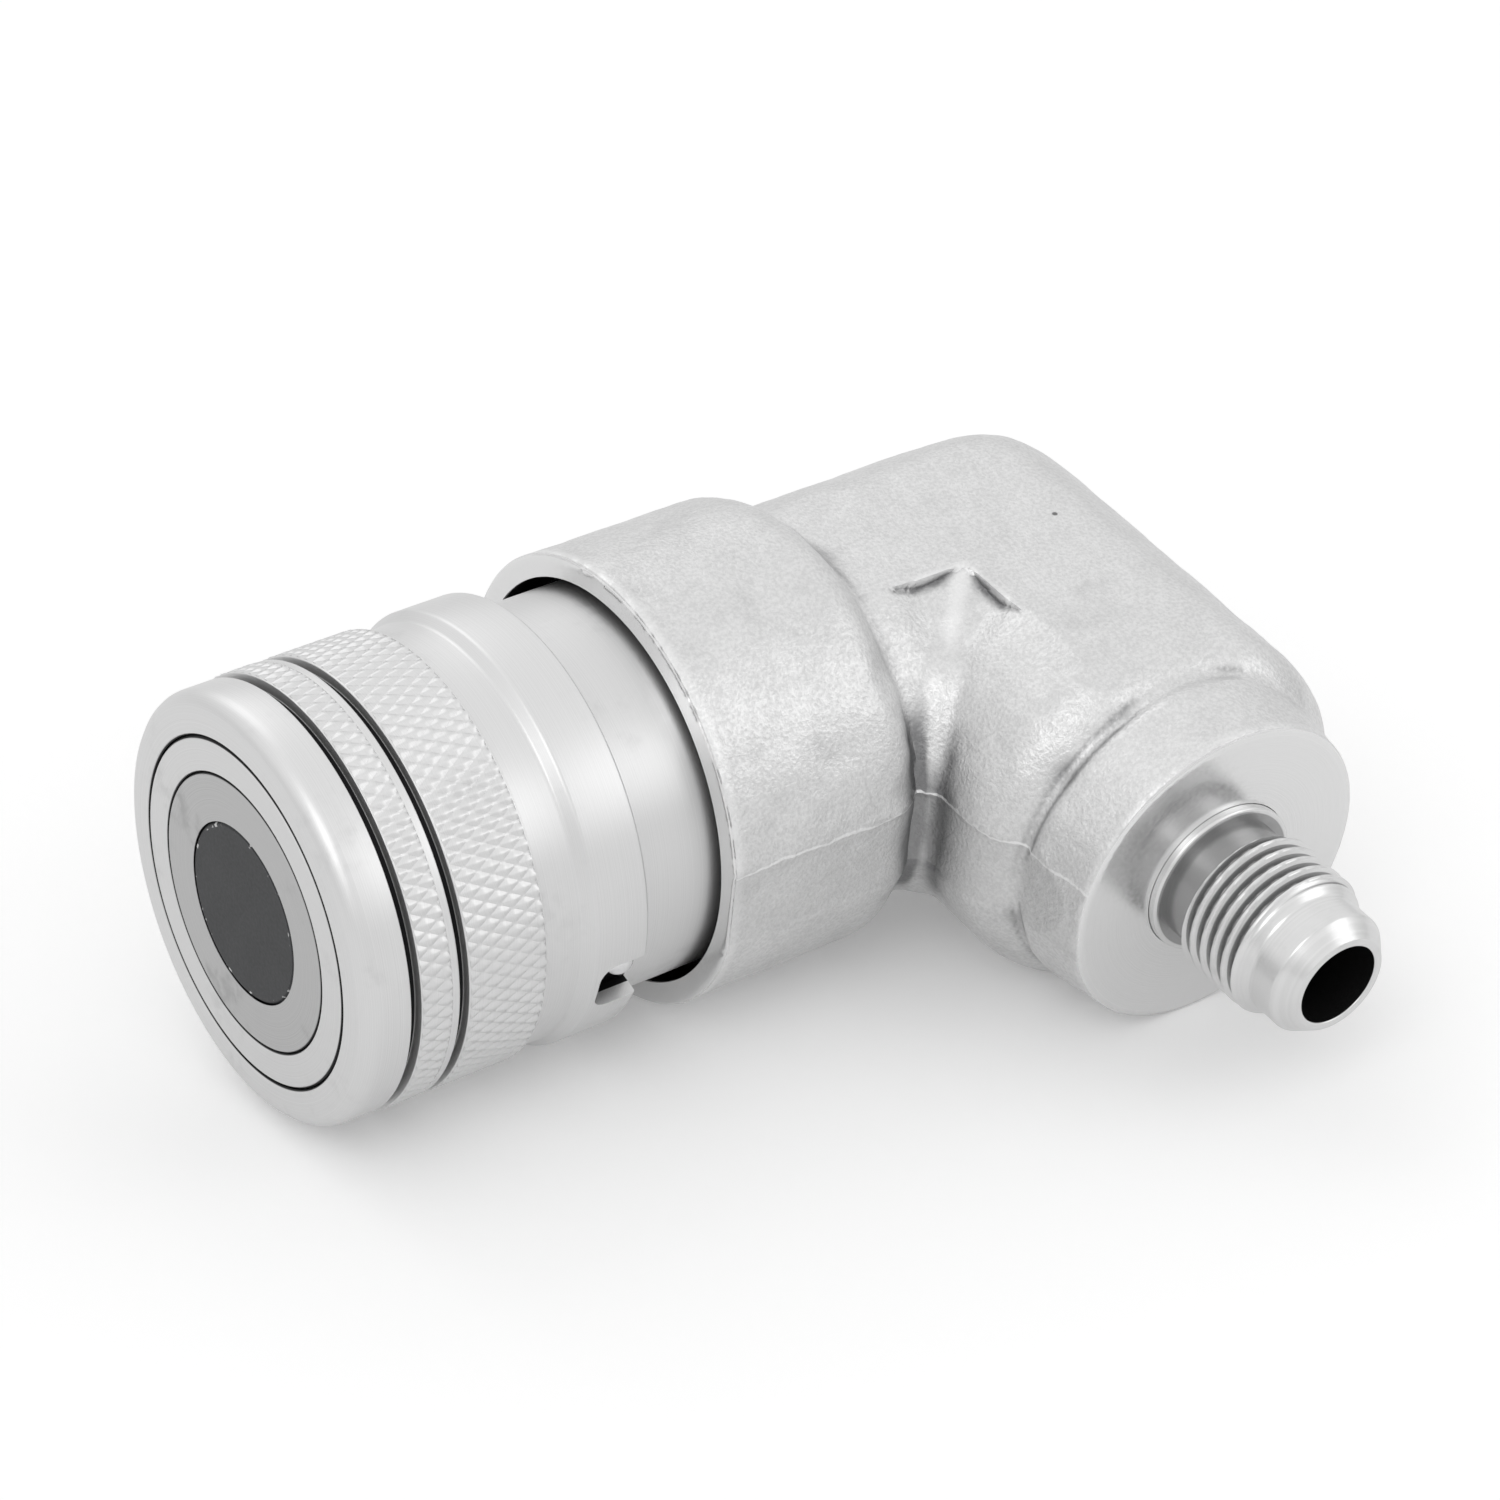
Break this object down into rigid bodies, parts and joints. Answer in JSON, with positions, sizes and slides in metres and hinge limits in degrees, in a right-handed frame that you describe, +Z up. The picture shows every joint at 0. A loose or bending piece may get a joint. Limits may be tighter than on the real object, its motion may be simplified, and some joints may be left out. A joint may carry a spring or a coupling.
{
  "type": "flat face hydraulic coupler",
  "caption": "Female flat face quick coupler with a knurled lock sleeve, in a forged 90 degree elbow with a threaded, flared male port.",
  "frame": {"origin": "centre of the flat mating face", "axes": "+X runs into the coupler along its axis, so the mating face looks along -X; the port points along -Y and dips by the lie of the elbow; +Z is up as the part lies at rest"},
  "size_m": [0.0943, 0.0751, 0.0418],
  "materials": {
    "forged_steel": "plated forging, fine matt grain",
    "turned_steel": "turned and plated, satin",
    "plated_steel": "plated, satin, knurled grip",
    "dark_steel": "dark, matt",
    "bearing_steel": "polished",
    "spring_steel": "drawn wire",
    "seal_rubber": "matt black",
    "backup_plastic": "white, waxy"
  },
  "bodies": {
    "housing": {"elbow_body": "forged_steel", "port_adapter": "turned_steel", "coupler_body": "turned_steel", "valve_stem": "dark_steel", "locking_balls": "bearing_steel", "stop_ball": "bearing_steel", "sleeve_spring": "spring_steel", "valve_spring": "spring_steel", "stem_carrier": "turned_steel", "carrier_ring": "spring_steel", "stem_washer": "turned_steel", "stem_nut": "turned_steel", "valve_seal": "seal_rubber", "body_seal": "seal_rubber", "adapter_seal": "seal_rubber", "valve_backup_ring": "backup_plastic", "body_backup_ring": "backup_plastic"},
    "valve": {"valve_sleeve": "turned_steel", "stem_seal": "seal_rubber"},
    "seat_ring": {"spring_seat_ring": "turned_steel"},
    "sleeve": {"lock_sleeve": "plated_steel"}
  },
  "joints": [
    {"name": "valve_slide", "type": "slide", "parent": "housing", "child": "valve", "axis": [1, 0, 0], "range_m": [0, 0.009], "stiffness_N_per_m": 3000, "springref_m": -0.01, "deforming": ["valve_spring"]},
    {"name": "sleeve_slide", "type": "slide", "parent": "housing", "child": "seat_ring", "axis": [1, 0, 0], "range_m": [0, 0.0014], "stiffness_N_per_m": 3000, "springref_m": -0.01, "deforming": ["sleeve_spring"]},
    {"name": "sleeve_turn", "type": "hinge", "parent": "seat_ring", "child": "sleeve", "pos_m": [0, 0, 0], "axis": [1, 0, 0], "range_deg": [-6, 0]}
  ]
}
